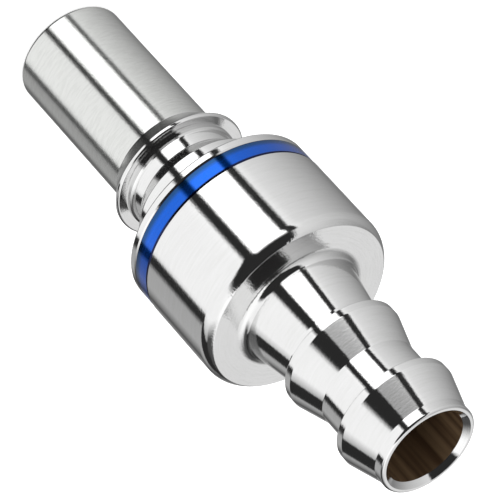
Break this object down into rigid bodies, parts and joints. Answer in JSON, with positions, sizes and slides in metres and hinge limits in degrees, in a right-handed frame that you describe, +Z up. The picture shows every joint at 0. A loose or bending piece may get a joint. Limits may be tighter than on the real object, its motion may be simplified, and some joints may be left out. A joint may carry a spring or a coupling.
{
  "type": "liquid cooling quick coupling plug",
  "caption": "Plug half of a non-spill liquid cooling coupling: valved cylindrical nose with latch groove, collar with a blue identification ring and an in-line hose barb.",
  "frame": {"origin": "centre of the nose face, on the surface that the plug stands on", "axes": "+Z up the flow axis, from the nose face towards the tip of the hose barb"},
  "size_m": [0.024, 0.024, 0.0715],
  "materials": {
    "plated_brass": "bright chrome plating over turned brass",
    "blue_anodised": "glossy blue anodising",
    "epdm": "smooth moulded rubber",
    "valve_metal": "nickel plating over turned brass",
    "spring_steel": "drawn stainless wire",
    "bare_brass": "turned, unplated"
  },
  "bodies": {
    "plug": {"nose_body": "plated_brass", "hose_tail": "plated_brass", "identification_ring": "blue_anodised", "body_seal": "epdm", "valve_guide": "bare_brass", "valve_spring": "spring_steel"},
    "poppet": {"valve_poppet": "valve_metal", "poppet_seal": "epdm"}
  },
  "joints": [
    {"name": "poppet_slide", "type": "slide", "parent": "plug", "child": "poppet", "axis": [0, 0, 1], "range_m": [0, 0.006], "stiffness_N_per_m": 1800, "springref_m": -0.004, "deforming": ["valve_spring"]}
  ]
}
